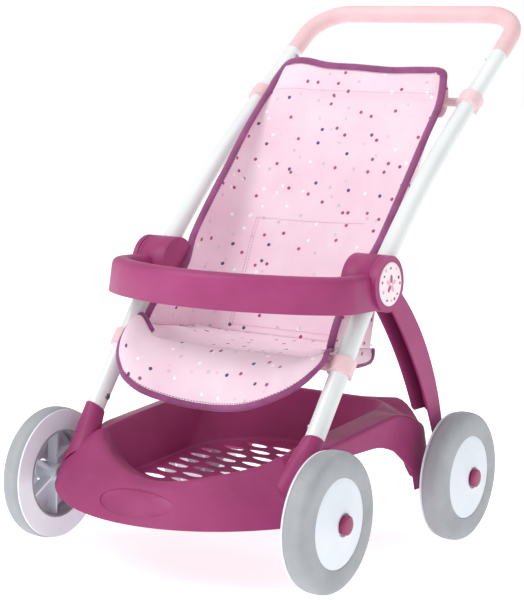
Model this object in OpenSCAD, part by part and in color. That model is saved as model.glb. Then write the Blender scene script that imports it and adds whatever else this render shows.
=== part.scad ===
// Doll stroller: two bent steel side tubes joined by a U-shaped handle grip, a bumper bar
// across the front, curved rear legs, a shelf basket on two axles, and a sewn bucket seat.
// Millimetres, +Z up, the front of the stroller faces -Y, the floor is z = 0.

/* [Wheels] */
// Outer diameter of a tyre
wheel_d = 140; // [116:1:170]
// Distance between the front and the rear axle
wheelbase = 273; // [255:1:330]
// Distance between the inner faces of a pair of wheels
wheel_gap = 321.6; // [318:0.2:340]
// Width of a wheel without its cap
wheel_w = 24; // [20:0.5:30]
// Radius of the domed outer disc of a wheel
disc_r = 44.8; // [36:0.2:50]
// Axle diameter
axle_d = 6; // [4:0.5:8]
// Radius of a hub cap
cap_r = 9.8; // [8.5:0.1:14]
// Number of ribs inside a wheel
rib_count = 6; // [3:1:8]

/* [Tubes] */
// Outer diameter of the side tubes and of the handle grip
tube_d = 20; // [16:0.5:22]
// Wall of the side tubes
tube_wall = 1; // [0.8:0.1:2]
// Distance between the centre lines of the two side tubes
tube_span = 274; // [268:1:280]
// Slope of the lower stretch of the side tubes
low_slope = 54; // [50:0.5:58]
// Slope of the upper stretch and of the handle
up_slope = 38.5; // [34:0.5:44]
// Radius of the long bend between the two stretches
bend_r = 1080; // [700:10:1200]
// Straight stretch of tube above the long bend
up_len = 130; // [105:1:170]
// Straight stretch of tube below the long bend, down to the socket mouth
low_len = 114; // [105:1:118]
// Distance from the end of the tubes to the centre of the handle bar
grip_reach = 78; // [65:1:110]
// Corner radius of the handle grip
grip_r = 44; // [30:1:60]

/* [Hub and bumper] */
// Radius of the round hub housings
hub_r = 29.2; // [26:0.2:34]
// Thickness of the round head of a rear leg
head_t = 5.6; // [3:0.2:8]
// Height of the bumper bar
bar_h = 36.6; // [28:0.2:44]
// Thickness of the bumper bar from front to back
bar_t = 22; // [17:0.5:26]
// Reach of the bumper bar ahead of the hubs
bar_reach = 136; // [115:1:160]
// Corner radius of the bumper bar, on its outer face
bar_corner_r = 38; // [30:1:50]
// Wall of the plastic mouldings
wall = 2.5; // [1.5:0.1:3]

/* [Basket] */
// Radius of the basket's front lip in plan
lip_r = 168.6; // [160:0.2:180]
// Height of the basket's front lip above the floor
lip_z = 61; // [50:1:72]
// Half width of the basket's opening
mouth_w = 108.5; // [100:0.5:114]
// Length of a floor slot
slot_l = 30; // [18:1:31]
// Width of a floor slot
slot_w = 7.5; // [4:0.5:9]

/* [Seat] */
// Half width of the seat between its side panels
seat_w = 111; // [96:1:111]
// Thickness of the padded seat fabric
pad_t = 4; // [3:0.5:6]

/* [Hidden] */
$fn = 64;

LEFT = -1;
RIGHT = 1;
FRONT = -1;
REAR = 1;

plum = [0.60, 0.22, 0.44];
rosy = [0.95, 0.82, 0.85];
off_white = [0.95, 0.95, 0.96];
grey_tyre = [0.60, 0.63, 0.65];
steel = [0.75, 0.75, 0.78];
cloth = [0.98, 0.88, 0.93];

slip = 0.05;                 // radial clearance of running and push fits
gap = 0.3;                   // clearance between pieces that only pass each other
seam = 0.02;                 // width of the seams between stretches of a tube or moulding
far = 1000;                  // longer than anything here

// ---- Places, measured from the point on the floor midway between the axles ----
wheel_r = wheel_d / 2;
axle_z = wheel_r;
axle_r = axle_d / 2;
wheel_x = wheel_gap / 2;
tube_r = tube_d / 2;
tube_x = tube_span / 2;

// Corner where the two straight stretches of a side tube would meet.
bend_y = 43.7;
bend_z = 353.7;
bend_t = bend_r * tan((low_slope - up_slope) / 2);
function lower(u) = [bend_y - (bend_t + u) * cos(low_slope), bend_z - (bend_t + u) * sin(low_slope)];
function upper(u) = [bend_y + (bend_t + u) * cos(up_slope), bend_z + (bend_t + u) * sin(up_slope)];
bend_c = lower(0) + bend_r * [sin(low_slope), -cos(low_slope)];
bar_axis = upper(up_len + grip_reach);

// The hub is centred where the tube's bend passes this height.
hub_z = 289;
hub_y = bend_c[0] - sqrt(bend_r * bend_r - (hub_z - bend_c[1]) * (hub_z - bend_c[1]));
hub_in_x = tube_x - 25.4;
hub_split_x = tube_x - tube_r - 1.8;
hub_out_x = tube_x + tube_r + 1.2;
head_x = hub_out_x + 0.2;
head_out_x = head_x + head_t;

lip_cy = 71.1 - wheelbase / 2 - 5.7;      // centre of the basket's front arcs
lip_front = lip_cy - lip_r;
y_shift = -(bar_axis[0] + tube_r + lip_front) / 2;

// ---- Small helpers ----
module at_origin() { translate([0, y_shift, 0]) children(); }
module on_side(side) { if (side == RIGHT) children(); else mirror([1, 0, 0]) children(); }
module both_sides() { children(); mirror([1, 0, 0]) children(); }
// Cylinder or ring along +X from x0 to x1 about the line (y, z).
module rod_x(x0, x1, y, z, r) { translate([x0, y, z]) rotate([0, 90, 0]) cylinder(r = r, h = x1 - x0); }
// Extrudes a side-view outline, drawn as (y, z), from x0 to x1.
module side_plate(x0, x1) {
    translate([x0, 0, 0]) rotate([90, 0, 90]) linear_extrude(x1 - x0) children();
}
// Places children at a point (y, z) on a tube, with local +Z up along a slope.
module on_tube(p, slope) { translate([tube_x, p[0], p[1]]) rotate([slope - 90, 0, 0]) children(); }
function smooth(t) = let (c = max(0, min(1, t))) c * c * (3 - 2 * c);
function mix(a, b, t) = a + (b - a) * t;

// ---- Wheels ----
rim_r = wheel_r - 4;
flange_r = wheel_r - 1.6;
well_r = 47.3;
disc_x = wheel_w - 0.3;
dome_h = 5.5;
boss_r = 10;
cup_r = 8;
shoulder_r = 11;

module wheel(side, end) {
    color(off_white) at_origin() on_side(side) translate([wheel_x, end * wheelbase / 2, axle_z])
        rotate([0, 90, 0]) difference() {
            union() {
                rotate_extrude() polygon([
                    [well_r, 0], [flange_r, 0], [flange_r, 2], [rim_r, 2.6], [rim_r, wheel_w - 6],
                    [rim_r - 2, wheel_w - 4], [disc_r, wheel_w - 2.6], [disc_r, disc_x],
                    [disc_r - 4, disc_x + 1], [cap_r + 2, disc_x + dome_h], [cap_r + 2, disc_x + 3],
                    [disc_r - 4, disc_x - 1.8], [well_r, wheel_w - 5.5], [rim_r - 5, wheel_w - 6.5],
                    [rim_r - 3, wheel_w - 8], [rim_r - 3, 2.6], [well_r, 2.6]]);
                cylinder(r = boss_r, h = disc_x + 4.6);
                for (i = [0 : rib_count - 1]) rotate([0, 0, i * 360 / rib_count])
                    translate([boss_r - 1, -1.25, 6]) cube([rim_r - boss_r - 1, 2.5, wheel_w - 12]);
            }
            translate([0, 0, -1]) cylinder(r = axle_r + slip, h = far);
            translate([0, 0, wheel_w - 4]) cylinder(r = cup_r, h = far);
        }
}

module tyre(side, end) {
    color(grey_tyre) at_origin() on_side(side) translate([wheel_x, end * wheelbase / 2, axle_z])
        rotate([0, 90, 0]) rotate_extrude() difference() {
            union() {
                translate([rim_r - 14, 2.6 + slip]) square([18, wheel_w - shoulder_r - 2.6]);
                translate([disc_r + gap / 2, wheel_w - 14])
                    square([wheel_r - shoulder_r - disc_r, 14 - 0.4]);
                translate([wheel_r - shoulder_r, wheel_w - shoulder_r - 0.4]) circle(r = shoulder_r);
            }
            polygon([[0, -1], [rim_r + slip, -1], [rim_r + slip, wheel_w - 6 + slip],
                [rim_r - 2 + slip, wheel_w - 4 + slip], [disc_r + slip, wheel_w - 2.6 + slip],
                [disc_r + slip, wheel_w + 9], [0, wheel_w + 9]]);
        }
}

module cap(side, end) {
    cap_x = disc_x + dome_h - 0.4;
    color(plum) at_origin() on_side(side) translate([wheel_x, end * wheelbase / 2, axle_z])
        rotate([0, 90, 0]) rotate_extrude() polygon([
            [cup_r - 2, disc_x - 1.5], [cup_r - slip, disc_x - 1.5], [cup_r - slip, cap_x],
            [cap_r, cap_x], [cap_r, cap_x + 2.6], [cap_r - 2, cap_x + 4.2], [cap_r - 5, cap_x + 5.2],
            [0, cap_x + 5.6], [0, cap_x + 3.4], [cup_r - 2, cap_x + 1.6]]);
}

washer_t = 1.6;
washer_r = 7.5;
boss_end_x = wheel_x - washer_t - 2 * gap;
nut_x = wheel_x + wheel_w - 4 + gap;

// Each wheel turns on its own pin, pressed into a boss of the basket.
skirt_x = 143.5;             // half width over the basket's skirt
pin_in_x = skirt_x - 22;
module axle_pins(end) {
    color(steel) at_origin() both_sides() rod_x(pin_in_x, nut_x + 2.4, end * wheelbase / 2, axle_z, axle_r);
}

module axle_washers() {
    color(steel) at_origin() both_sides() for (end = [FRONT, REAR])
        difference() {
            rod_x(boss_end_x + gap, wheel_x - gap, end * wheelbase / 2, axle_z, washer_r);
            rod_x(0, far, end * wheelbase / 2, axle_z, axle_r + slip);
        }
}

module push_nuts() {
    color(steel) at_origin() both_sides() for (end = [FRONT, REAR])
        difference() {
            rod_x(nut_x, nut_x + 1.2, end * wheelbase / 2, axle_z, cup_r - 2.6);
            rod_x(0, far, end * wheelbase / 2, axle_z, axle_r);
        }
}

// ---- Side tubes, sockets and handle ----
socket_len = 40;
tube_in = 18;                // length of tube inside its socket
socket_top_r = tube_r + 2.2;
socket_base_r = tube_r + 7;
screw_r = 1.5;
screw_head_r = 3.3;
screw_seat = tube_r - 0.8;
socket_screw_u = low_len - 12;
grip_screw_u = up_len - 10;
plug_len = 32;

// The middle stretch of a side tube's line, swept with the children, a seam short at each end.
module along_bend() {
    turn = seam / bend_r * 180 / PI;
    translate([tube_x, bend_c[0], bend_c[1]]) rotate([90, 0, 90]) rotate([0, 0, 90 + up_slope + turn])
        rotate_extrude(angle = low_slope - up_slope - 2 * turn, $fn = 360)
            translate([bend_r, 0]) children();
}
module tube_section() {
    difference() { circle(r = tube_r); circle(r = tube_r - tube_wall); }
}

// A ring inside the wall that ties two stretches of tube together.
module joint_ring() {
    translate([0, 0, -3]) linear_extrude(6) difference() {
        circle(r = tube_r - 0.3);
        circle(r = tube_r - tube_wall - 0.3);
    }
}

module side_tube(side) {
    color(off_white) at_origin() on_side(side) difference() {
        union() {
            on_tube(lower(low_len + tube_in), low_slope)
                linear_extrude(low_len + tube_in) tube_section();
            along_bend() tube_section();
            on_tube(upper(0), up_slope) linear_extrude(up_len) tube_section();
            on_tube(lower(0), low_slope) joint_ring();
            on_tube(upper(0), up_slope) joint_ring();
        }
        for (s = [[lower(socket_screw_u), low_slope], [upper(grip_screw_u), up_slope]])
            on_tube(s[0], s[1]) {
                rotate([0, -90, 0]) cylinder(r = screw_r + slip, h = far);
                rotate([0, -90, 0]) translate([0, 0, screw_seat]) cylinder(r = screw_head_r + slip, h = far);
            }
    }
}

module screw(len) {
    cylinder(r = screw_r, h = len);
    difference() {
        translate([0, 0, len]) cylinder(r = screw_head_r, h = 1.8);
        translate([-2, -0.4, len + 1]) cube([4, 0.8, 1]);
        translate([-0.4, -2, len + 1]) cube([0.8, 4, 1]);
    }
}

module tube_screws(p, slope) {
    color(steel) at_origin() both_sides() on_tube(p, slope)
        rotate([0, -90, 0]) translate([0, 0, 2]) screw(screw_seat - 2);
}

module socket_screws() { tube_screws(lower(socket_screw_u), low_slope); }
module handle_screws() { tube_screws(upper(grip_screw_u), up_slope); }

// Slanted plane on which a socket rests on the corner of the basket, as two (y, z) points.
seat_front = [-155, 97.6];
seat_slope = 26.4;

module above_seat(lift) {
    translate([0, seat_front[0], seat_front[1] + lift]) rotate([seat_slope, 0, 0])
        translate([0, -60, 0]) cube([far, far, far]);
}

module front_socket(side) {
    color(plum) at_origin() on_side(side) difference() {
        intersection() {
            on_tube(lower(low_len + socket_len + 30), low_slope)
                cylinder(r1 = mix(socket_top_r, socket_base_r, 1.7), r2 = socket_top_r, h = socket_len + 30);
            above_seat(0);
        }
        on_tube(lower(low_len + tube_in), low_slope) cylinder(r = tube_r + slip, h = far);
        on_tube(lower(low_len + socket_len + 30), low_slope) cylinder(r = peg_r + slip, h = 60);
    }
}

peg_r = tube_r - tube_wall - slip;

module handle_grip() {
    u0 = grip_r;
    color(rosy) at_origin() translate([0, upper(up_len)[0], upper(up_len)[1]])
        rotate([up_slope, 0, 0]) difference() {
            union() {
                both_sides() {
                    translate([tube_x, 0, 0]) rotate([-90, 0, 0]) cylinder(r = tube_r, h = grip_reach - u0);
                    translate([tube_x, -plug_len, 0]) rotate([-90, 0, 0])
                        cylinder(r = tube_r - tube_wall - slip, h = plug_len + 1);
                    translate([tube_x - u0, grip_reach - u0, 0]) rotate_extrude(angle = 90)
                        translate([u0, 0]) circle(r = tube_r);
                }
                translate([-tube_x + u0, grip_reach, 0]) rotate([0, 90, 0])
                    cylinder(r = tube_r, h = 2 * (tube_x - u0));
            }
            both_sides() translate([tube_x, grip_screw_u - up_len, 0]) rotate([0, -90, 0])
                cylinder(r = screw_r + slip, h = far);
        }
}

// ---- Hubs, bumper bar and rear legs ----
hub_screw_at = [[-16, 15], [15, -17]];     // (y, z) of the clamp screws from the hub's centre

// Cross-section of the bumper bar, its outer face at x = 0, and the shell of it, open below.
function arc(c, r, a0, a1) = [for (i = [0 : 6]) c + r * [cos(mix(a0, a1, i / 6)), sin(mix(a0, a1, i / 6))]];
function bar_arch(inset) = let (top = bar_h / 2 - 3 - inset, r = 9 - inset)
    concat(arc([-r - inset, top - r], r, 0, 90), arc([r + inset - bar_t, top - r], r, 90, 180));
module bar_section(inset) {
    polygon(concat([[inset - bar_t, inset - bar_h / 2 - 3], [-inset, inset - bar_h / 2 - 3]], bar_arch(inset)));
}
module bar_shell() {
    inner = bar_arch(wall);
    polygon(concat([[-wall, -bar_h / 2 - 3], [0, -bar_h / 2 - 3]], bar_arch(0),
        [[-bar_t, -bar_h / 2 - 3], [wall - bar_t, -bar_h / 2 - 3]],
        [for (i = [len(inner) - 1 : -1 : 0]) inner[i]]));
}

bar_front_r = 210;
bar_x = hub_out_x;
bar_front_cy = hub_y - bar_reach + bar_front_r;
bar_corner_x = bar_x - bar_corner_r;
bar_corner_y = bar_front_cy - sqrt(pow(bar_front_r - bar_corner_r, 2) - bar_corner_x * bar_corner_x);
bar_front_a = asin(bar_corner_x / (bar_front_r - bar_corner_r));

module bumper_bar() {
    turn = seam / bar_front_r * 180 / PI;
    run = hub_y - bar_corner_y;
    color(plum) at_origin() difference() {
        union() {
            translate([0, 0, hub_z - 4]) {
                translate([0, bar_front_cy, 0]) rotate([0, 0, -90 - bar_front_a + turn])
                    rotate_extrude(angle = 2 * bar_front_a - 2 * turn, $fn = 180)
                        translate([bar_front_r, 0]) bar_shell();
                both_sides() {
                    translate([bar_corner_x, bar_corner_y, 0]) rotate([0, 0, bar_front_a - 90])
                        rotate_extrude(angle = 90 - bar_front_a) translate([bar_corner_r, 0]) bar_shell();
                    translate([bar_x, hub_y, 0]) rotate([90, 0, 0]) linear_extrude(run - seam) bar_shell();
                    // Ribs that tie the stretches together.
                    translate([bar_x, bar_corner_y + 1, 0]) rotate([90, 0, 0])
                        linear_extrude(2) bar_section(wall / 2);
                    translate([0, bar_front_cy, 0]) rotate([0, 0, bar_front_a - 90])
                        translate([bar_front_r, 1, 0]) rotate([90, 0, 0]) linear_extrude(2) bar_section(wall / 2);
                }
            }
            both_sides() rod_x(hub_split_x, hub_out_x, hub_y, hub_z, hub_r);
        }
        both_sides() {
            along_bend() circle(r = tube_r + slip);
            rod_x(hub_split_x - 12, hub_split_x, hub_y, hub_z, hub_r + gap);
            for (s = hub_screw_at)
                rod_x(hub_in_x, hub_out_x - 3, hub_y + s[0], hub_z + s[1], screw_r + slip);
        }
    }
}

module hub_clamp(side) {
    color(plum) at_origin() on_side(side) difference() {
        rod_x(hub_in_x, hub_split_x - 0.2, hub_y, hub_z, hub_r);
        for (s = hub_screw_at) {
            rod_x(0, far, hub_y + s[0], hub_z + s[1], screw_r + slip);
            rod_x(0, hub_in_x + 3, hub_y + s[0], hub_z + s[1], screw_head_r + slip);
        }
        // Notch at the top of the joint.
        translate([hub_split_x - 3.2, hub_y - 14, hub_z + hub_r - 4]) cube([far, 3, 10]);
    }
}

module hub_screws() {
    color(steel) at_origin() both_sides() for (s = hub_screw_at)
        translate([hub_in_x + 3, hub_y + s[0], hub_z + s[1]]) rotate([0, -90, 0])
            translate([0, 0, -14]) screw(14);
}

leg_in_x = tube_x - 4;
leg_out_x = head_out_x;
leg_back = [[-154.8, 45.4], 293.8];       // centre (y, z) and radius of the rear edge
leg_front = [[-339, -95.6], 497];         // centre (y, z) and radius of the front edge
leg_low_z = 98;

module leg_outline(grow) {
    difference() {
        intersection() {
            translate(leg_back[0]) circle(r = leg_back[1] + grow, $fn = 180);
            translate([hub_y - 10, leg_low_z]) square([200, hub_z - 12 - leg_low_z]);
        }
        translate(leg_front[0]) circle(r = leg_front[1] - grow, $fn = 180);
    }
}

// Everything above the slanted foot of a leg, which follows the basket's shoulder.
module above_foot(lift) {
    translate([leg_in_x, 0, 146 + lift]) rotate([0, 49, 0]) translate([-far / 2, -far / 2, 0])
        cube([far, far, far]);
}

module rear_leg(side) {
    color(plum) at_origin() on_side(side) difference() {
        union() {
            difference() {
                side_plate(leg_in_x, leg_out_x) leg_outline(0);
                side_plate(leg_in_x + wall, leg_out_x - wall) intersection() {
                    leg_outline(2);
                    translate(leg_back[0]) circle(r = leg_back[1] - wall, $fn = 180);
                }
                rod_x(0, head_x, hub_y, hub_z, hub_r + gap);
                difference() {
                    translate([0, 0, 0]) cube([leg_out_x - wall, 300, 300]);
                    above_foot(0);
                }
            }
            rod_x(head_x, head_out_x, hub_y, hub_z, hub_r);
        }
        rod_x(leg_in_x - 5, head_x, hub_y, hub_z, hub_r + gap);
        leg_screw_hole();
    }
}

// A screw goes through the rear flange of the leg into the basket's post.
leg_screw_p = [118, 150];
leg_screw_x = (leg_in_x + leg_out_x) / 2;

module leg_screw_hole() {
    translate([leg_screw_x, leg_screw_p[0] + 40, leg_screw_p[1] + 20])
        rotate([115, 0, 0]) cylinder(r = screw_r + slip, h = 70);
}

module leg_screws() {
    color(steel) at_origin() both_sides()
        translate([leg_screw_x, leg_screw_p[0] + 40, leg_screw_p[1] + 20]) rotate([115, 0, 0])
            translate([0, 0, 37.4]) rotate([180, 0, 0]) translate([0, 0, -14]) screw(14);
}

module hub_badge(side) {
    color(rosy) at_origin() on_side(side) rod_x(head_out_x, head_out_x + 0.3, hub_y, hub_z, hub_r - 6.4);
}

// ---- Cross bars that carry the seat ----
cross_r = 5;
clip_len = 17;
clip_t = 3.2;
upper_bar_u = 45;
lower_bar_u = 33;

module clip() {
    difference() {
        translate([0, 0, -clip_len / 2]) cylinder(r = tube_r + slip + clip_t, h = clip_len);
        cylinder(r = tube_r + slip, h = far, center = true);
        translate([-7, 4, -far / 2]) cube([14, 40, far]);
    }
}

module cross_bar(p, slope) {
    color(rosy) at_origin() {
        both_sides() on_tube(p, slope) clip();
        rod_x(-tube_x + tube_r + 2, tube_x - tube_r - 2, p[0], p[1], cross_r);
    }
}

// ---- Basket ----
floor_z = 84.5;              // height of the floor's top face midway between the axles
floor_tilt = 0.1;            // rise of the floor and of the rim per unit of length
rim_z = 140.3;
ledge_x = 141;
crest_r = lip_r - 45.1;
front_n = 10;
side_n = 18;
rear_n = 10;

function polar(c, r, a) = [r * sin(a), c - r * cos(a)];
function rim_height(y) = rim_z + floor_tilt * y;
function crest_height(x, y) = y < -120
    ? mix(96.5, rim_height(-130), pow(min(1, x / mouth_w), 1.8)) : rim_height(y);
crest_a = asin(mouth_w / crest_r);
crest_end_y = lip_cy - crest_r * cos(crest_a);

// Each ring runs from the middle of the front, t = 0, along the right side to the middle
// of the back, t = 3: front arc, side and rear are one unit each.
function floor_ring(t) = t <= 1 ? [94 * t, -118 + 20 * pow(t, 3)]
    : t <= 2 ? [94, mix(-98, -5, t - 1)]
    : [94 * cos(90 * (t - 2)), -5 + 83 * sin(90 * (t - 2))];
function crest_ring(t) = t <= 1 ? polar(lip_cy, crest_r, crest_a * t)
    : t <= 2 ? [mouth_w, mix(crest_end_y, 68.5, t - 1)]
    : corner_then_back(t - 2, mouth_w, 68.5, 30);
function ledge_ring(t) = t <= 1 ? polar(lip_cy, crest_r + 9 + 30 * pow(t, 3), 61.7 * t)
    : t <= 2 ? [ledge_x, mix(-148, 96, t - 1)]
    : corner_then_back(t - 2, ledge_x, 96, 34);
function skirt_ring(t) = t <= 1 ? polar(lip_cy, lip_r, 58.4 * t)
    : t <= 2 ? [skirt_x, mix(-159.5, 122, t - 1)]
    : corner_then_back(t - 2, skirt_x, 122, 24);
// A rounded rear corner, then a straight line to the middle of the back.
function corner_then_back(t, x, y, r) = t < 0.5
    ? [x - r + r * cos(180 * t), y + r * sin(180 * t)]
    : [(x - r) * (2 - 2 * t), y + r];

function ledge_height(x, y) =
    let (front = smooth((-85 - y) / 63), out = smooth((x - 95) / 46))
    y < -149 ? mix(94.5, 101, pow(min(1, x / 143), 3))
    : rim_height(y) - 24.5 * front - (y > 45 ? 34 * pow((y - 45) / 80, 1.6) * out : 0);
function arch_height(y) = y < -50 ? mix(64, 117.5, smooth((y + 108) / 58))
    : y < -5 ? 117.5 : y < 45 ? 117.5 - 0.0042 * (y + 5) * (y + 5)
    : y < 93 ? 107 - 0.66 * (y - 45) : 58;
function skirt_height(t, x, y) = t <= 1 ? lip_z + 5 * t * t
    : t <= 2.5 ? arch_height(y) : mix(58, 104, smooth((112 - x) / 30));

function out_dir(t) = let (d = skirt_ring(t) - floor_ring(t)) d / norm(d);
function lift(p, z) = [p[0], p[1], z];
// The eight points of the moulding's section at t, from the floor out and back underneath.
function section(t) =
    let (a = floor_ring(t), b = crest_ring(t), c = ledge_ring(t), d = skirt_ring(t), n = out_dir(t),
        za = floor_z + floor_tilt * a[1], zb = crest_height(b[0], b[1]),
        zc = ledge_height(c[0], c[1]), zd = skirt_height(t, d[0], d[1]))
    [lift(a, za), lift(b, zb), lift(c, zc), lift(d, zd), lift(d - wall * n, zd),
        lift(c - 1.2 * wall * n, zc - wall), lift(b + wall * n, zb - 1.1 * wall), lift(a + 0.8 * n, za - wall)];
half_t = concat([for (i = [0 : front_n - 1]) i / front_n], [for (i = [0 : side_n - 1]) 1 + i / side_n],
    [for (i = [0 : rear_n]) 2 + i / rear_n]);
half_n = len(half_t);
loop_n = 2 * half_n - 2;
function flip(p) = [-p[0], p[1], p[2]];
function loop_section(i) = i < half_n ? section(half_t[i])
    : [for (p = section(half_t[loop_n - i])) flip(p)];

module basket_shell() {
    points = [for (i = [0 : loop_n - 1]) each loop_section(i)];
    quads = [for (i = [0 : loop_n - 1]) for (k = [0 : 7])
        let (j = (i + 1) % loop_n, m = (k + 1) % 8) [i * 8 + k, j * 8 + k, j * 8 + m, i * 8 + m]];
    faces = [for (q = quads) each [[q[0], q[1], q[2]], [q[0], q[2], q[3]]]];
    polyhedron(points = points, faces = faces, convexity = 8);
}

// The floor is a tilted plate with slots, in its own plane.
slot_pitch = [34, 20.5];
slot_tilt = -7;
// How many slots fit in the row at y, which follows the rounded rear of the floor.
function slot_count(y) = floor((190 * sqrt(max(0, 1 - pow(max(0, y + 5) / 70, 2))) - 14) / slot_pitch[0]);
module basket_floor() {
    edge = concat([for (t = half_t) floor_ring(t) + 0.8 * out_dir(t)],
        [for (i = [half_n : loop_n - 1]) let (t = half_t[loop_n - i], p = floor_ring(t) + 0.8 * out_dir(t))
            [-p[0], p[1]]]);
    incline = atan(floor_tilt);
    translate([0, 0, floor_z - wall]) rotate([incline, 0, 0]) difference() {
        linear_extrude(wall) polygon([for (p = edge) [p[0], p[1] / cos(incline)]]);
        for (j = [0 : 7]) let (y = slot_pitch[1] * j - 95, n = slot_count(y)) if (n > 0)
            for (i = [0 : n - 1]) translate([(i - (n - 1) / 2) * slot_pitch[0], y, -1]) rotate([0, 0, slot_tilt]) {
                translate([-slot_l / 2 + slot_w / 2, -slot_w / 2, 0])
                    cube([slot_l - slot_w, slot_w, wall + 2]);
                for (e = [-1, 1]) translate([e * (slot_l - slot_w) / 2, 0, 0])
                    cylinder(r = slot_w / 2, h = wall + 2);
            }
    }
}

module basket() {
    color(plum) at_origin() difference() {
        union() {
            difference() {
                basket_shell();
                both_sides() {
                    intersection() {
                        on_tube(lower(low_len + socket_len + 30), low_slope) cylinder(
                            r1 = mix(socket_top_r, socket_base_r, 1.7) + slip, r2 = socket_top_r + slip,
                            h = socket_len + 30);
                        above_seat(-slip);
                    }
                    difference() {
                        side_plate(leg_in_x - gap, leg_out_x + gap) leg_outline(gap);
                        difference() {
                            cube([leg_out_x - wall - gap, 300, 300]);
                            above_foot(-gap);
                        }
                    }
                }
            }
            basket_floor();
            both_sides() {
                // Bosses for the axle pins.
                rod_x(skirt_x - 24, boss_end_x, -wheelbase / 2, axle_z, 9);
                rod_x(skirt_x - 24, boss_end_x, wheelbase / 2, axle_z, 11);
                // Peg for the side tube.
                on_tube(lower(low_len + socket_len + 26), low_slope)
                    cylinder(r = peg_r, h = socket_len + 20);
                // Post inside the foot of the rear leg.
                side_plate(leg_in_x + wall + gap, leg_out_x - wall - gap) intersection() {
                    difference() {
                        translate(leg_back[0]) circle(r = leg_back[1] - wall - gap, $fn = 180);
                        translate(leg_front[0]) circle(r = leg_front[1] + 3, $fn = 180);
                    }
                    translate([90, 112]) square([50, 50]);
                }
            }
        }
        for (end = [FRONT, REAR]) rod_x(-far / 2, far / 2, end * wheelbase / 2, axle_z, axle_r + slip);
        both_sides() leg_screw_hole();
    }
}

// ---- Seat ----
// Side-view lines of the bucket seat as (y, z): the front edge of the side panels, from the
// top down, and the back panel.
seat_edge = [[181, 491], [164, 469], [132, 435], [95, 391], [74, 367], [34, 320], [3, 284], [-36, 250], [-52, 232]];
seat_spine = [[189, 506], [172, 474], [150, 432], [118, 360], [86, 300], [52, 235], [44, 212.5]];
pan_front = [-50, 214];
pan_rear = [46, 206];
flap_line = [[-50.5, 219], [-66, 220.5], [-80, 216], [-96, 203], [-111, 185], [-117, 171], [-113, 155]];

// A slab that follows a side-view line, to one side of it.
function line_normal(line, i) = let (a = line[max(0, i - 1)], b = line[min(len(line) - 1, i + 1)],
    d = (b - a) / norm(b - a)) [-d[1], d[0]];
module slab(line, t, half_w) {
    side_plate(-half_w, half_w) polygon(concat(line,
        [for (i = [len(line) - 1 : -1 : 0]) line[i] + t * line_normal(line, i)]));
}

// The top hem of the back panel is a sleeve round the upper cross bar.
module seat_back() {
    bar = upper(upper_bar_u);
    half = seat_w - pad_t - 1;
    color(cloth) at_origin() difference() {
        union() {
            slab(seat_spine, -pad_t, half);
            side_plate(-half, half) polygon([seat_spine[0], bar + [7, 12], bar + [10, 0],
                bar + [6, -9], [158, 447], seat_spine[1] + [-1, 1]]);
        }
        rod_x(-far, far, bar[0], bar[1], cross_r + gap);
    }
}

module seat_pan() {
    color(cloth) at_origin() side_plate(-seat_w + pad_t + 1, seat_w - pad_t - 1) polygon([
        pan_rear, pan_rear + [1, pad_t], pan_front + [0, pad_t], pan_front]);
}

// The front flap folds over the lower cross bar and hangs ahead of the tubes.
module seat_flap() {
    bar = lower(lower_bar_u);
    color(cloth) at_origin() difference() {
        intersection() {
            slab(flap_line, pad_t, 128);
            translate([0, 0, 328]) rotate([90, 0, 0]) cylinder(r = 173, h = far, center = true);
        }
        rod_x(-far, far, bar[0], bar[1], cross_r + gap);
        both_sides() {
            translate([117, -77, 100]) cube([60, 100, 200]);
            along_low(tube_r + slip + clip_t + gap);
        }
    }
}

// A rod of radius r about the lower stretch of a side tube.
module along_low(r) { on_tube(lower(low_len), low_slope) cylinder(r = r, h = low_len); }

module seat_side(side) {
    bar = lower(lower_bar_u);
    color(cloth) at_origin() on_side(side) difference() {
        side_plate(seat_w - pad_t, seat_w) polygon(concat(seat_edge, [[-50, 205], [40, 203], [46, 212.5]],
            [for (i = [len(seat_spine) - 2 : -1 : 1]) seat_spine[i]]));
        rod_x(0, far, bar[0], bar[1], cross_r + gap);
    }
}

module front_axle_pins() { axle_pins(FRONT); }
module rear_axle_pins() { axle_pins(REAR); }
module upper_seat_bar() { cross_bar(upper(upper_bar_u), up_slope); }
module lower_seat_bar() { cross_bar(lower(lower_bar_u), low_slope); }

basket();
front_axle_pins();
rear_axle_pins();
axle_washers();
push_nuts();
front_socket(LEFT);  // front_socket_left
front_socket(RIGHT);  // front_socket_right
socket_screws();
side_tube(LEFT);  // side_tube_left
side_tube(RIGHT);  // side_tube_right
handle_grip();
handle_screws();
bumper_bar();
hub_clamp(LEFT);  // hub_clamp_left
hub_clamp(RIGHT);  // hub_clamp_right
hub_screws();
rear_leg(LEFT);  // rear_leg_left
rear_leg(RIGHT);  // rear_leg_right
leg_screws();
hub_badge(LEFT);  // hub_badge_left
hub_badge(RIGHT);  // hub_badge_right
upper_seat_bar();
lower_seat_bar();
seat_back();
seat_pan();
seat_flap();
seat_side(LEFT);  // seat_side_left
seat_side(RIGHT);  // seat_side_right
wheel(LEFT, FRONT);  // wheel_front_left
tyre(LEFT, FRONT);  // tyre_front_left
cap(LEFT, FRONT);  // cap_front_left
wheel(RIGHT, FRONT);  // wheel_front_right
tyre(RIGHT, FRONT);  // tyre_front_right
cap(RIGHT, FRONT);  // cap_front_right
wheel(LEFT, REAR);  // wheel_rear_left
tyre(LEFT, REAR);  // tyre_rear_left
cap(LEFT, REAR);  // cap_rear_left
wheel(RIGHT, REAR);  // wheel_rear_right
tyre(RIGHT, REAR);  // tyre_rear_right
cap(RIGHT, REAR);  // cap_rear_right
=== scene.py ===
import math
import random
from contextlib import contextmanager

import bmesh
import bpy
import numpy as np
from mathutils import Matrix, Vector


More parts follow.
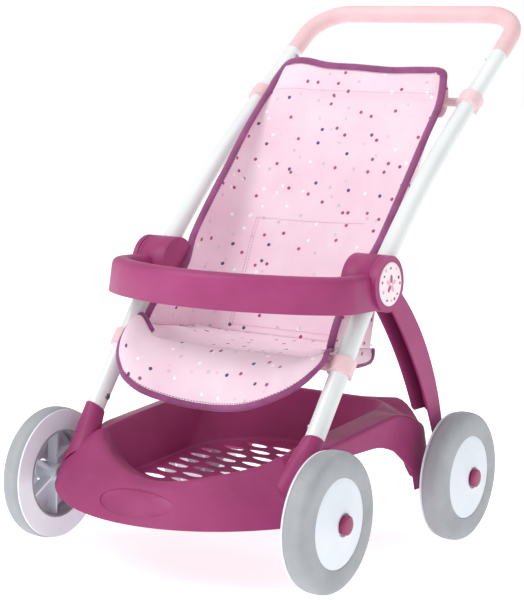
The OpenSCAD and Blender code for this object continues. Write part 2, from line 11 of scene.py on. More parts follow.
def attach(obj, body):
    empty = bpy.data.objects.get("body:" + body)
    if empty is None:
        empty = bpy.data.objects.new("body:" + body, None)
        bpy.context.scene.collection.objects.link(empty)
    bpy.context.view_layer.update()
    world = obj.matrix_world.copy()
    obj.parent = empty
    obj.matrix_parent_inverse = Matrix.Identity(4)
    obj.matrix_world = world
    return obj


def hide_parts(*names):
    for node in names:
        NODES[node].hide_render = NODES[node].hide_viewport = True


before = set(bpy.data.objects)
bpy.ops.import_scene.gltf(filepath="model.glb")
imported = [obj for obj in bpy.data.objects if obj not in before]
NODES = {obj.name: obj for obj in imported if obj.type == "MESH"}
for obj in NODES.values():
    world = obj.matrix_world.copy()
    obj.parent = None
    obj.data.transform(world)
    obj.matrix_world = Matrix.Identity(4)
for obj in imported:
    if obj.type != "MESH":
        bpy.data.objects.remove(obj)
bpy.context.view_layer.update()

# The CAD shifts everything so that the origin is the centre of the plan.
# Lengths below are millimetres measured from the point midway between the axles.
SHIFT = -45.906


def V(x, y, z):
    return Vector((x / 1000, (y + SHIFT) / 1000, z / 1000))


def lerp(a, b, t):
    return a + (b - a) * t


def bell(x, mid, width):
    return math.exp(-((x - mid) / width) ** 2)


def smooth(t):
    t = max(0.0, min(1.0, t))
    return t * t * (3 - 2 * t)


def table(keys, values, x):
    """Smooth interpolation of values, numbers or tuples, along rising keys."""
    x = max(keys[0], min(keys[-1], x))
    i = max(0, min(len(keys) - 2, int(np.searchsorted(keys, x, side="right")) - 1))
    h = keys[i + 1] - keys[i]
    t = (x - keys[i]) / h
    p = np.atleast_2d(np.array(values, float).T).T
    def slope(k):
        a, b = max(0, k - 1), min(len(keys) - 1, k + 1)
        return (p[b] - p[a]) / (keys[b] - keys[a]) * h
    m0, m1 = slope(i), slope(i + 1)
    r = ((2 * t**3 - 3 * t**2 + 1) * p[i] + (t**3 - 2 * t**2 + t) * m0
         + (-2 * t**3 + 3 * t**2) * p[i + 1] + (t**3 - t**2) * m1)
    return r if len(r) > 1 else float(r[0])


# ---------------------------------------------------------------- materials
GRAIN = 0.0002  # depth of a fine bump, in metres


def new_material(name):
    m = bpy.data.materials.new(name)
    m.use_nodes = True
    nt = m.node_tree
    nt.nodes.clear()
    out = nt.nodes.new("ShaderNodeOutputMaterial")
    bsdf = nt.nodes.new("ShaderNodeBsdfPrincipled")
    nt.links.new(bsdf.outputs[0], out.inputs[0])
    return m, nt, bsdf


def feed(nt, socket, value):
    """Links an output to an input, or sets the input to a plain value."""
    if isinstance(value, bpy.types.NodeSocket):
        nt.links.new(value, socket)
    else:
        socket.default_value = value


def put(nt, n, **values):
    """Feeds a node's inputs by name, or its own settings where no input has the name."""
    for k, v in values.items():
        socket = n.inputs.get(k.replace("_", " "))
        if socket is None:
            setattr(n, k, v)
        else:
            feed(nt, socket, v)


def node(nt, kind, **values):
    n = nt.nodes.new("ShaderNode" + kind)
    put(nt, n, **values)
    return n


def noise(nt, scale, detail, out="Fac", **more):
    """Noise that is fixed to the object."""
    place = node(nt, "TexCoord").outputs["Object"]
    return node(nt, "TexNoise", Vector=place, Scale=scale, Detail=detail, **more).outputs[out]


def bump(nt, height, strength, depth=GRAIN, **more):
    return node(nt, "Bump", Height=height, Strength=strength, Distance=depth, **more).outputs[0]


def mix(nt, share, a, b):
    n = node(nt, "Mix", data_type="RGBA")
    for i, v in ((0, share), (6, a), (7, b)):
        feed(nt, n.inputs[i], v)
    return n.outputs[2]


def math_node(nt, op, *terms):
    n = node(nt, "Math", operation=op)
    for i, v in enumerate(terms):
        feed(nt, n.inputs[i], v)
    return n.outputs[0]


def ramp(nt, fac, stops, mode="LINEAR"):
    """A colour ramp; a stop's colour may be one grey value."""
    n = nt.nodes.new("ShaderNodeValToRGB")
    n.color_ramp.interpolation = mode
    while len(n.color_ramp.elements) < len(stops):
        n.color_ramp.elements.new(0.5)
    for e, (pos, col) in zip(n.color_ramp.elements, stops):
        e.position = pos
        e.color = (*col, 1) if isinstance(col, tuple) else (col, col, col, 1)
    nt.links.new(fac, n.inputs[0])
    return n.outputs[0]


def hexa(s):
    """Linear colour of an sRGB hex code."""
    c = [int(s[i:i + 2], 16) / 255 for i in (0, 2, 4)]
    return tuple(x / 12.92 if x <= 0.04045 else ((x + 0.055) / 1.055) ** 2.4 for x in c)


def shades(codes):
    return [hexa(s) for s in codes.split()]


def plastic(name, colour, light, dark, rough=0.4, grain=0.15, coat=0.0, sub=0.0, spec=0.5):
    """Moulded plastic: faint flow mottling, fine grain, paler rubbed edges."""
    m, nt, b = new_material(name)
    flow = ramp(nt, noise(nt, 14, 4, Roughness=0.55), [(0.3, dark), (0.5, colour), (0.72, light)])
    edge = ramp(nt, node(nt, "NewGeometry").outputs["Pointiness"], [(0.5, 0), (0.56, 1)])
    scuff = noise(nt, 60, 8, Roughness=0.7)
    put(nt, b, Base_Color=mix(nt, math_node(nt, "MULTIPLY", edge, 0.25), flow, (*light, 1)),
        Roughness=math_node(nt, "MULTIPLY_ADD", scuff, 0.16, rough - 0.08),
        Normal=bump(nt, noise(nt, 900, 2), grain), Specular_IOR_Level=spec,
        Coat_Weight=coat, Coat_Roughness=0.25, Subsurface_Weight=sub, Subsurface_Scale=0.004)
    return m


def enamel(name, colour, dark):
    """White stoved enamel on steel tube: slight orange peel and a hard gloss."""
    m, nt, b = new_material(name)
    put(nt, b, Base_Color=ramp(nt, noise(nt, 9, 3), [(0.35, dark), (0.6, colour)]),
        Normal=bump(nt, noise(nt, 260, 2), 0.08), Roughness=0.28,
        Coat_Weight=0.35, Coat_Roughness=0.12)
    return m


def steel(name):
    """Zinc-plated steel."""
    m, nt, b = new_material(name)
    grain = noise(nt, 400, 5)
    put(nt, b, Base_Color=ramp(nt, grain, [(0.3, hexa("6e6f74")), (0.7, hexa("b9bac0"))]),
        Roughness=ramp(nt, grain, [(0.3, 0.5), (0.7, 0.28)]), Metallic=1.0)
    return m


def tyre_rubber(name):
    """Foam rubber: matt, cloudy and faintly speckled."""
    m, nt, b = new_material(name)
    cloud = noise(nt, 22, 5, Roughness=0.6)
    dark, colour, light = shades("9ba0a5 a9adb3 b5b9be")
    base = ramp(nt, cloud, [(0.3, dark), (0.55, colour), (0.75, light)])
    put(nt, b, Base_Color=mix(nt, 0.08, base, noise(nt, 1100, 2, out="Color")),
        Roughness=ramp(nt, cloud, [(0.3, 0.5), (0.7, 0.62)]),
        Normal=bump(nt, noise(nt, 1100, 2), 0.2))
    return m


def weave_height(nt, uv, pitch):
    """Over-and-under threads from two crossed waves of the UV, which is in metres."""
    sep = node(nt, "SeparateXYZ", Vector=uv)
    k = 2 * math.pi / pitch
    a, c = (math_node(nt, "SINE", math_node(nt, "MULTIPLY", sep.outputs[i], k)) for i in (0, 1))
    return math_node(nt, "MULTIPLY", a, c)


# The layers of printed dots: cells per metre, radius in metres, the share of the cells that
# print, and the inks by their place on a ramp.
DOT_LAYERS = [
    (47.0, 0.0021, 0.86, [(0.0, "a83a68"), (0.22, "efd9e6"), (0.34, "b84872"), (0.55, "d8c9d4"),
                          (0.7, "4e4a72"), (0.86, "fdf6fa")]),
    (45.0, 0.0020, 0.42, [(0.0, "fff6fb"), (0.25, "f2c9dc"), (0.5, "ddd0d9"), (0.8, "ae3f6b")]),
]


def printed_dots(nt, uv, ground):
    """Prints the layers of dots over the ground colour."""
    for k, (scale, radius, share, inks) in enumerate(DOT_LAYERS):
        place = node(nt, "Mapping", Vector=uv, Location=(0.37 * k, 0.61 * k, 0),
                     Rotation=(0, 0, 0.5 * k + 0.2)).outputs[0]
        cell = node(nt, "TexVoronoi", voronoi_dimensions="2D", Vector=place, Scale=scale,
                    Randomness=0.72)
        split = node(nt, "SeparateColor", Color=cell.outputs["Color"])
        inside = math_node(nt, "LESS_THAN", cell.outputs["Distance"], radius * scale)
        keep = math_node(nt, "LESS_THAN", split.outputs[1], share)
        ink = ramp(nt, split.outputs[0], [(p, hexa(c)) for p, c in inks], "CONSTANT")
        ground = mix(nt, math_node(nt, "MULTIPLY", inside, keep), ground, ink)
    return ground


def cloth(name):
    """Pale pink woven polyester with small printed dots."""
    m, nt, b = new_material(name)
    uv = node(nt, "UVMap").outputs[0]
    tone = noise(nt, 16, 4)
    ground = ramp(nt, tone, [(0.3, hexa("f3d1e2")), (0.7, hexa("f9e0ec"))])
    weave = bump(nt, weave_height(nt, uv, 0.0009), 0.25)
    put(nt, b, Base_Color=printed_dots(nt, uv, ground),
        Roughness=ramp(nt, tone, [(0.3, 0.72), (0.7, 0.85)]),
        Normal=bump(nt, noise(nt, 38, 3), 0.35, 0.0025, Normal=weave),
        Sheen_Weight=0.35, Sheen_Roughness=0.45, Subsurface_Weight=0.06, Subsurface_Scale=0.006)
    return m


def piping_cloth(name, colour, light, dark):
    """Folded bias tape: a little glossier than the seat cloth."""
    m, nt, b = new_material(name)
    uv = node(nt, "UVMap").outputs[0]
    put(nt, b, Base_Color=ramp(nt, noise(nt, 45, 4), [(0.3, dark), (0.5, colour), (0.72, light)]),
        Normal=bump(nt, weave_height(nt, uv, 0.0008), 0.4), Roughness=0.62,
        Sheen_Weight=0.5, Sheen_Roughness=0.4)
    return m


# Each set of shades is the colour itself, a lighter one and a darker one.
MAT = {
    "plum": plastic("plum_plastic", *shades("a13b71 ab447c 963569"), rough=0.44, grain=0.12,
                    spec=0.3),
    "cap": plastic("cap_plastic", *shades("9a2d60 a6376c 8c2556"), rough=0.35, grain=0.05),
    "rosy": plastic("rosy_plastic", *shades("f4ccd4 f8d8de efc3cc"), rough=0.45, grain=0.1, sub=0.1),
    "grip": plastic("grip_plastic", *shades("f0c6cb f5d3d7 eabcc2"), rough=0.5, grain=0.3, sub=0.1),
    "white": plastic("white_plastic", *shades("e8eff8 f0f5fb e2e9f3"), rough=0.38, grain=0.08,
                     sub=0.05),
    "badge": plastic("badge_film", *shades("f8e6ee fdf0f5 f2d9e4"), rough=0.35, grain=0.05, coat=0.3),
    "enamel": enamel("white_enamel", *shades("f1f4f4 e9edee")),
    "steel": steel("zinc_steel"),
    "tyre": tyre_rubber("tyre_rubber"),
    "cloth": cloth("seat_cloth"),
    "piping": piping_cloth("seat_piping", *shades("94407a a04c88 84366c")),
    "thread": piping_cloth("pink_thread", *shades("cf9ab6 dbacc5 c08aa8")),
    "dark_thread": piping_cloth("plum_thread", *shades("6d2c5c 7a3568 5d234e")),
}
for tone, code in (("ink_rose", "b04a72"), ("ink_navy", "4c4465"), ("ink_grey", "c3b7c2"),
                   ("ink_pink", "eba9c4")):
    ink = hexa(code)
    MAT[tone] = plastic(tone, ink, tuple(min(1, v * 1.15) for v in ink), tuple(v * 0.85 for v in ink),
                        rough=0.5, grain=0.05)

CAD_MATERIALS = {
    "plum": ["basket", "front_socket_left", "front_socket_right", "bumper_bar", "hub_clamp_left",
             "hub_clamp_right", "rear_leg_left", "rear_leg_right"],
    "rosy": ["upper_seat_bar", "lower_seat_bar", "hub_badge_left", "hub_badge_right"],
    "grip": ["handle_grip"],
    "enamel": ["side_tube_left", "side_tube_right"],
    "steel": ["front_axle_pins", "rear_axle_pins", "axle_washers", "push_nuts", "socket_screws",
              "handle_screws", "hub_screws", "leg_screws"],
    "cloth": ["seat_back", "seat_pan", "seat_flap", "seat_side_left", "seat_side_right"],
}
for corner in ("front_left", "front_right", "rear_left", "rear_right"):
    CAD_MATERIALS.setdefault("white", []).append("wheel_" + corner)
    CAD_MATERIALS.setdefault("tyre", []).append("tyre_" + corner)
    CAD_MATERIALS.setdefault("cap", []).append("cap_" + corner)
for key, names in CAD_MATERIALS.items():
    for n in names:
        o = NODES[n]
        if not o.material_slots:
            o.data.materials.append(MAT[key])
        for s in o.material_slots:
            s.material = MAT[key]


# ---------------------------------------------------------------- mesh tools
def link(name, data):
    o = bpy.data.objects.new(name, data)
    bpy.context.collection.objects.link(o)
    return o


def discard(*objects):
    for o in objects:
        me = o.data
        bpy.data.objects.remove(o)
        bpy.data.meshes.remove(me)


@contextmanager
def edited(me):
    """The mesh as a bmesh, written back at the end."""
    bm = bmesh.new()
    bm.from_mesh(me)
    yield bm
    bm.to_mesh(me)
    bm.free()


def add_object(name, verts, faces, material, uvs=None):
    me = bpy.data.meshes.new(name)
    me.from_pydata([tuple(v) for v in verts], [], faces)
    me.update()
    if uvs is not None:
        layer = me.uv_layers.new(name="UVMap")
        for loop in me.loops:
            layer.data[loop.index].uv = uvs[loop.vertex_index]
    for p in me.polygons:
        p.use_smooth = True
    me.materials.append(MAT[material])
    return link(name, me)


def bands(n, m, wrap=True):
    """Quads between n rows of m points."""
    return [(i * m + j, i * m + (j + 1) % m, (i + 1) * m + (j + 1) % m, (i + 1) * m + j)
            for i in range(n - 1) for j in range(m if wrap else m - 1)]


def lids(n, m):
    """Faces that close the first and the last of n rows of m points."""
    return [tuple(range(m - 1, -1, -1)), tuple((n - 1) * m + j for j in range(m))]


def grid_object(name, rows, material, uvs=None, wrap=False, closed=False):
    """A skin of quads through rows of points; closed adds the two end faces."""
    n, m = len(rows), len(rows[0])
    faces = bands(n, m, wrap) + (lids(n, m) if closed else [])
    flat = [u for r in uvs for u in r] if uvs else None
    return add_object(name, [p for r in rows for p in r], faces, material, flat)


def apply_modifiers(o):
    me = bpy.data.meshes.new_from_object(o.evaluated_get(bpy.context.evaluated_depsgraph_get()))
    old = o.data
    o.modifiers.clear()
    o.data = me
    bpy.data.meshes.remove(old)
    for p in o.data.polygons:
        p.use_smooth = True


def thicken(o, mm):
    s = o.modifiers.new("thick", "SOLIDIFY")
    s.thickness = mm / 1000
    s.offset = 0.0
    s.use_quality_normals = True
    apply_modifiers(o)


def cut_out(o, cutter):
    """Takes the cutter's shape out of the object, and the cutter away."""
    face_outwards(cutter)
    b = o.modifiers.new("cut", "BOOLEAN")
    b.operation, b.solver, b.object = "DIFFERENCE", "EXACT", cutter
    apply_modifiers(o)
    discard(cutter)


def length_of(points):
    return sum((b - a).length for a, b in zip(points, points[1:]))


def resample(points, step):
    """Evenly spaced points along a polyline, about step metres apart."""
    pts = [Vector(p) for p in points]
    d = [0.0]
    for a, b in zip(pts, pts[1:]):
        d.append(d[-1] + (b - a).length)
    n = max(2, int(round(d[-1] / step)) + 1)
    out, k = [], 0
    for i in range(n):
        s = d[-1] * i / (n - 1)
        while k < len(d) - 2 and d[k + 1] < s:
            k += 1
        t = (s - d[k]) / max(1e-9, d[k + 1] - d[k])
        out.append(pts[k].lerp(pts[k + 1], t))
    return out


def spline(points, per=10):
    """Catmull-Rom curve through points."""
    p = [Vector(q) for q in points]
    p = [p[0] * 2 - p[1]] + p + [p[-1] * 2 - p[-2]]
    out = []
    for i in range(1, len(p) - 2):
        for k in range(per):
            t = k / per
            out.append(0.5 * (2 * p[i] + (p[i + 1] - p[i - 1]) * t
                       + (2 * p[i - 1] - 5 * p[i] + 4 * p[i + 1] - p[i + 2]) * t * t
                       + (-p[i - 1] + 3 * p[i] - 3 * p[i + 1] + p[i + 2]) * t**3))
    out.append(p[-2])
    return out


def tube(name, path, rx, ry, material, up, sides, wobble, seed):
    """A tube of elliptical section along a path; up guides the short axis."""
    rng = random.Random(seed)
    rows, uvs = [], []
    pts = [Vector(p) for p in path]
    dist = 0.0
    for i, p in enumerate(pts):
        t = (pts[min(i + 1, len(pts) - 1)] - pts[max(i - 1, 0)]).normalized()
        a = (up - t * up.dot(t)).normalized()
        b = t.cross(a)
        if i:
            dist += (p - pts[i - 1]).length
        k = 1 + wobble * (rng.random() - 0.5)
        turns = [2 * math.pi * j / sides for j in range(sides)]
        rows.append([p + b * (rx * k * math.cos(w)) + a * (ry * k * math.sin(w)) for w in turns])
        uvs.append([(dist, 0.004 * w) for w in turns])
    return grid_object(name, rows, material, uvs, wrap=True, closed=True)


def join(name, objects):
    """Joins meshes that share a material into one object."""
    me = bpy.data.meshes.new(name)
    bm = bmesh.new()
    for o in objects:
        bm.from_mesh(o.data)
    bm.to_mesh(me)
    bm.free()
    me.materials.append(objects[0].data.materials[0])
    discard(*objects)
    return link(name, me)


# A stitch, in mm: from one to the next, its length, its thread's radius and its height.
STITCH_PITCH, STITCH_LENGTH, STITCH_R, STITCH_LIFT = 3.4, 2.3, 0.36, 0.3
STITCH_STEP = 0.6  # spacing of the points that a stitch is made from
STITCH_SIDES = 6


def stitches(path, normals, material):
    """A row of short raised thread dashes along a path lying on cloth."""
    pts = resample(path, STITCH_STEP / 1000)
    last = len(normals) - 1
    nrm = [normals[min(last, int(i * len(normals) / len(pts)))] for i in range(len(pts))]
    step = round(STITCH_PITCH / STITCH_STEP)
    dash = round(STITCH_LENGTH / STITCH_STEP)
    pattern = bands(dash + 1, STITCH_SIDES) + lids(dash + 1, STITCH_SIDES)
    verts, faces = [], []
    for s in range(0, len(pts) - dash, step):
        seg = pts[s:s + dash + 1]
        faces += [tuple(len(verts) + q for q in f) for f in pattern]
        for i, p in enumerate(seg):
            t = (seg[min(i + 1, dash)] - seg[max(i - 1, 0)]).normalized()
            a = (nrm[s + i] - t * nrm[s + i].dot(t)).normalized()
            b = t.cross(a)
            k = math.sqrt(max(0.05, 1 - (2 * i / dash - 1) ** 4))
            mid = p + a * ((STITCH_LIFT * k - 0.1) / 1000)
            for j in range(STITCH_SIDES):
                w = 2 * math.pi * j / STITCH_SIDES
                verts.append(mid + (b * math.cos(w) + a * math.sin(w)) * (STITCH_R * k / 1000))
    return add_object("stitches", verts, faces, material, [(v.x, v.y) for v in verts])


def face_outwards(o):
    """Turns the faces of a closed mesh outwards."""
    with edited(o.data) as bm:
        if all(e.is_manifold for e in bm.edges):
            bmesh.ops.recalc_face_normals(bm, faces=bm.faces)


def settle(o, body, slot, *replaced):
    face_outwards(o)
    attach(o, body)
    if replaced:
        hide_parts(*replaced)
    return o


# ---------------------------------------------------------------- basket
LIP_R, LIP_CY, LIP_Z = 168.6, -71.1, 61.0
CREST_R = LIP_R - 45.1
MOUTH = 108.5
WALL = 2.5
RIM_Z = 140.3


def polar(c, r, a):
    return (r * math.sin(math.radians(a)), c - r * math.cos(math.radians(a)))


def corner_back(t, x, y, r):
    if t < 0.5:
        return (x - r + r * math.cos(math.pi * t), y + r * math.sin(math.pi * t))
    return ((x - r) * (2 - 2 * t), y + r)


CREST_A = math.degrees(math.asin(MOUTH / CREST_R))
CREST_END = LIP_CY - CREST_R * math.cos(math.radians(CREST_A))


def floor_ring(t):
    if t <= 1:
        return (94 * t, -118 + 20 * t**3)
    if t <= 2:
        return (94, lerp(-98, -5, t - 1))
    a = math.pi / 2 * (t - 2)
    return (94 * math.cos(a), -5 + 83 * math.sin(a))


def crest_ring(t):
    if t <= 1:
        return polar(LIP_CY, CREST_R, CREST_A * t)
    if t <= 2:
        return (MOUTH, lerp(CREST_END, 68.5, t - 1))
    return corner_back(t - 2, MOUTH, 68.5, 30)


def ledge_ring(t):
    if t <= 1:
        return polar(LIP_CY, CREST_R + 9 + 32 * t**3, 61.7 * t)
    if t <= 2:
        return (141 + 3.9 * (1 - smooth((t - 1) / 0.3)), lerp(-149, 96, t - 1))
    return corner_back(t - 2, 141, 104, 26)


def skirt_ring(t):
    if t <= 1:
        return polar(LIP_CY, LIP_R + 5.1 * t**4, 58.4 * t - 0.7 * t**4)
    if t <= 2:
        return (143.5 + 3.3 * (1 - smooth((t - 1) / 0.3)), lerp(-163.9, 122, t - 1))
    return corner_back(t - 2, 143.5, 122, 24)


def rim_height(y):
    return RIM_Z + 0.1 * y


def crest_height(x, y):
    if y < -120:
        return lerp(96.5, rim_height(-130), min(1, abs(x) / MOUTH) ** 1.8)
    return rim_height(y)


def ledge_height(x, y):
    if y < -149:
        return lerp(94.5, 101, min(1, abs(x) / 143) ** 3)
    front, out = smooth((-85 - y) / 63), smooth((abs(x) - 95) / 46)
    return rim_height(y) - 24.5 * front - (34 * ((y - 45) / 80) ** 1.6 * out if y > 45 else 0)


def arch_height(y):
    if y < -50:
        return lerp(64, 117.5, smooth((y + 108) / 58))
    if y < -5:
        return 117.5
    if y < 45:
        return 117.5 - 0.0042 * (y + 5) ** 2
    return 107 - 0.66 * (y - 45) if y < 93 else 58


def skirt_height(t, x, y):
    if t <= 1:
        return LIP_Z + 5 * t * t
    if t <= 2.5:
        return arch_height(y)
    return lerp(58, 104, smooth((112 - abs(x)) / 30))


def fillet(points, radii, n=5):
    """Rounds the corners of a 3-D polyline with n-segment curves."""
    out = [points[0]]
    for i in range(1, len(points) - 1):
        p, a, b = points[i], points[i - 1], points[i + 1]
        da, db = a - p, b - p
        r = min(radii[i], da.length * 0.45, db.length * 0.45)
        s, e = p + da.normalized() * r, p + db.normalized() * r
        for k in range(n + 1):
            t = k / n
            out.append((1 - t) ** 2 * s + 2 * t * (1 - t) * p + t * t * e)
    out.append(points[-1])
    return out


def basket_section(t, side):
    """One section through the shell: from the floor over crest and ledge to the skirt and back."""
    a, b, c, d = (np.array(f(t), float) for f in (floor_ring, crest_ring, ledge_ring, skirt_ring))
    n = (d - a) / np.linalg.norm(d - a)
    za = 84.5 + 0.1 * a[1]
    zb, zc, zd = crest_height(*b), ledge_height(*c), skirt_height(t, *d)
    # The ledge is lower at the middle of the back, and along the left side.
    zc -= 9 * smooth((c[1] - 96) / 30) * smooth((118 - abs(c[0])) / 40)
    if side < 0:
        zc -= 9 * smooth(c[0] / 60) * smooth((c[1] + 150) / 50) * (1 - smooth((c[1] - 96) / 30))

    def at(p, z):
        return Vector((p[0], p[1], z))

    front = 1 - smooth((t - 0.75) / 0.45)
    inn, za_in = a - 9 * n, za - 0.9 * n[1]
    outer = fillet([at(inn, za_in), at(a, za), at(b, zb), at(c, zc), at(d, zd)],
                   [0, 14, lerp(4, 16, front), lerp(5, 20, front), 0], 14)
    inner = fillet([at(d - 0.5 * n, zd - 0.6), at(d - (WALL - 0.5) * n, zd - 0.6), at(d - WALL * n, zd),
                    at(c - 1.2 * WALL * n, zc - WALL), at(b + WALL * n, zb - 1.1 * WALL),
                    at(a + 0.8 * n, za - WALL), at(inn, za_in - WALL)],
                   [0, 0, 0, lerp(4, 16, front), lerp(3, 12, front), 10, 0], 4)
    return [V(side * p.x, p.y, p.z) for p in outer + inner]


def make_basket():
    ts = [i / 40 for i in range(40)] + [1 + i / 70 for i in range(70)] + [2 + i / 44 for i in range(45)]
    rows = [basket_section(t, 1) for t in ts] + [basket_section(t, -1) for t in ts[-2:0:-1]]
    n, m = len(rows), len(rows[0])
    faces = [(i * m + j, (i + 1) % n * m + j, (i + 1) % n * m + (j + 1) % m, i * m + (j + 1) % m)
             for i in range(n) for j in range(m)]
    return add_object("basket_shell", [p for r in rows for p in r], faces, "plum")


# The floor's leaf-shaped slots, in mm.
SLOT_ROWS, SLOT_ROW_STEP, SLOT_STEP = 8, 20.5, 34
SLOT_HALF, SLOT_HALF_W, SLOT_TILT, SLOT_POINTS = 15, 6.6, math.radians(-11), 28


def slot_cutter(x0, y0):
    """A leaf: pointed at its left end, round at its right end."""
    pts = []
    for i in range(SLOT_POINTS):
        a = 2 * math.pi * i / SLOT_POINTS
        u = math.cos(a)
        w = SLOT_HALF_W * math.sin(a) * (0.62 + 0.38 * (u + 1) / 2) * (1 if u > -0.99 else 0)
        c, s = math.cos(SLOT_TILT), math.sin(SLOT_TILT)
        pts.append((x0 + SLOT_HALF * u * c - w * s, y0 + SLOT_HALF * u * s + w * c))
    rows = [[V(x, y, z) for x, y in pts] for z in (110, 50)]
    return grid_object("cutter", rows, "plum", wrap=True, closed=True)


def make_floor():
    """The basket's floor with leaf-shaped slots cut through."""
    ring = []
    ts = [i / 24 for i in range(24)] + [1 + i / 12 for i in range(12)] + [2 + i / 36 for i in range(37)]
    for t in ts:
        a, d = np.array(floor_ring(t)), np.array(skirt_ring(t))
        ring.append(a - 5.5 * (d - a) / np.linalg.norm(d - a))
    ring = [(x, y) for x, y in ring] + [(-x, y) for x, y in ring[-2:0:-1]]
    rows = [[V(x, y, 84.5 + 0.1 * y - deep) for x, y in ring] for deep in (0.02, 1.3)]
    plate = grid_object("basket_floor", rows, "plum", wrap=True, closed=True)
    face_outwards(plate)
    cutters = []
    for j in range(SLOT_ROWS):
        y0 = -95 + SLOT_ROW_STEP * j
        width = math.sqrt(max(0.0, 1 - (max(0.0, y0 + 5) / 70) ** 2))
        count = int((2 * 95 * width - 14) / SLOT_STEP)
        cutters += [slot_cutter((k - (count - 1) / 2) * SLOT_STEP, y0) for k in range(count)]
    cut_out(plate, join("cutter", cutters))
    v = plate.modifiers.new("edge", "BEVEL")
    v.width = 0.0003
    v.segments = 2
    v.limit_method = "ANGLE"
    apply_modifiers(plate)
    for p in plate.data.polygons:
        p.use_smooth = False
    return plate


def lathe_x(name, profile, centre, side, material, n=48):
    """Spins (x, r) points about an X axis through centre (y, z)."""
    rows = [[V(side * x, centre[0] + r * math.cos(2 * math.pi * i / n),
               centre[1] + r * math.sin(2 * math.pi * i / n)) for i in range(n)] for x, r in profile]
    o = grid_object(name, rows, material, wrap=True)
    with edited(o.data) as bm:
        bmesh.ops.remove_doubles(bm, verts=bm.verts, dist=1e-6)
    return o


def fascia_point(x, up):
    """Point and normal on the front fascia: x across it, up along it from its lower edge, in mm."""
    def at(xx, uu):
        t = math.degrees(math.asin(abs(xx) / 148.6)) / 58.4
        b, c, d = (np.array(f(t), float) for f in (crest_ring, ledge_ring, skirt_ring))
        zb, zc, zd = crest_height(*b), ledge_height(*c), skirt_height(t, *d)
        front = 1 - smooth((t - 0.75) / 0.45)
        line = fillet([Vector((*b, zb)), Vector((*c, zc)), Vector((*d, zd))],
                      [0, lerp(5, 20, front), 0], 14)[::-1]
        for a, e in zip(line, line[1:]):
            if uu <= (e - a).length or e is line[-1]:
                q = a.lerp(e, uu / (e - a).length)
                return Vector((math.copysign(q.x, xx), q.y, q.z))
            uu -= (e - a).length
    p = at(x, up)
    n = (at(x + 0.5, up) - at(x - 0.5, up)).cross(at(x, up + 0.5) - at(x, up - 0.5)).normalized()
    return p, n if n.y < 0 else -n


# The blank oval on the fascia: half-axes and the height of its middle up the fascia, in mm.
OVAL_HALF_W, OVAL_HALF_H, OVAL_UP, OVAL_POINTS = 42.5, 16.3, 24.5, 72
SHARP = math.radians(28)


def press_oval(shell):
    """Cuts a blank oval recess, 1.5 mm deep, into the middle of the front fascia."""
    rows = []
    for k, h in ((1.03, 3.0), (1.0, 0.0), (0.985, -1.2), (0.96, -1.5), (0.7, -1.5), (0.4, -1.5),
                 (0.12, -1.5)):
        row = []
        for i in range(OVAL_POINTS):
            a = 2 * math.pi * i / OVAL_POINTS
            p, n = fascia_point(OVAL_HALF_W * k * math.cos(a) + 0.01,
                                OVAL_UP + OVAL_HALF_H * k * math.sin(a))
            row.append(V(*(p + n * h)))
        rows.append(row)
    cut_out(shell, grid_object("cutter", rows, "plum", wrap=True, closed=True))
    with edited(shell.data) as bm:
        for e in bm.edges:
            if len(e.link_faces) == 2 and e.calc_face_angle(0) > SHARP:
                e.smooth = False


basket = make_basket()
face_outwards(basket)
press_oval(basket)
settle(basket, "frame", "plum_plastic", "basket")
settle(make_floor(), "frame", "plum_plastic")

WHEEL_ENDS = {"front": -136.5, "rear": 136.5}
WHEEL_Z = 70
bosses = []
for side in (-1, 1):
    for end, r in (("front", 9.0), ("rear", 11.0)):
        outline = [(119.5, r), (156.6, r), (157.6, r - 1), (157.6, 3.05), (119.5, 3.05), (119.5, r)]
        bosses.append(lathe_x("boss", outline, (WHEEL_ENDS[end], WHEEL_Z), side, "plum"))
settle(join("axle_bosses", bosses), "frame", "plum_plastic")


# ---------------------------------------------------------------- bumper bar
HUB_Y, HUB_Z, BAR_X = 0.0, 289.0, 148.2
FRONT_R, CORNER_RAD = 210.0, 38.0
FRONT_CY = HUB_Y - 136 + FRONT_R
BEND_X = BAR_X - CORNER_RAD
BEND_Y = FRONT_CY - math.sqrt((FRONT_R - CORNER_RAD) ** 2 - BEND_X ** 2)
FRONT_A = math.asin(BEND_X / (FRONT_R - CORNER_RAD))


def bar_path():
    """(x, y, outward x, outward y) round the outer face, from the right hub to the left one."""
    half = []
    for i in range(14):
        half.append((BAR_X, lerp(HUB_Y, BEND_Y, i / 14), 1.0, 0.0))
    for i in range(16):
        a = lerp(0, math.pi / 2 - FRONT_A, i / 16)
        half.append((BEND_X + CORNER_RAD * math.cos(a), BEND_Y - CORNER_RAD * math.sin(a),
                     math.cos(a), -math.sin(a)))
    for i in range(30):
        a = FRONT_A * (1 - i / 30)
        half.append((FRONT_R * math.sin(a), FRONT_CY - FRONT_R * math.cos(a),
                     math.sin(a), -math.cos(a)))
    mid = (0.0, FRONT_CY - FRONT_R, 0.0, -1.0)
    return half + [mid] + [(-x, y, -nx, ny) for x, y, nx, ny in half[::-1]]


def bar_profile():
    """Outline of the moulding: (inwards, z) pairs, drafted walls, soft top, open below."""
    top, low = HUB_Z + 11.3, HUB_Z - 25.3
    rim = fillet([Vector((-2.4, 0, low)), Vector((1.2, 0, top)), Vector((20.6, 0, top - 0.6)),
                  Vector((22.0, 0, low))], [0, 9, 8, 0], 7)
    inn = fillet([Vector((19.4, 0, low)), Vector((18.4, 0, top - 3.0)), Vector((3.6, 0, top - 2.6)),
                  Vector((0.3, 0, low))], [0, 6, 6, 0], 5)
    foot = low - 0.6
    return ([(q.x, q.z) for q in rim] + [(21.6, foot), (19.9, foot)] + [(q.x, q.z) for q in inn]
            + [(-0.2, foot), (-2.0, foot)])


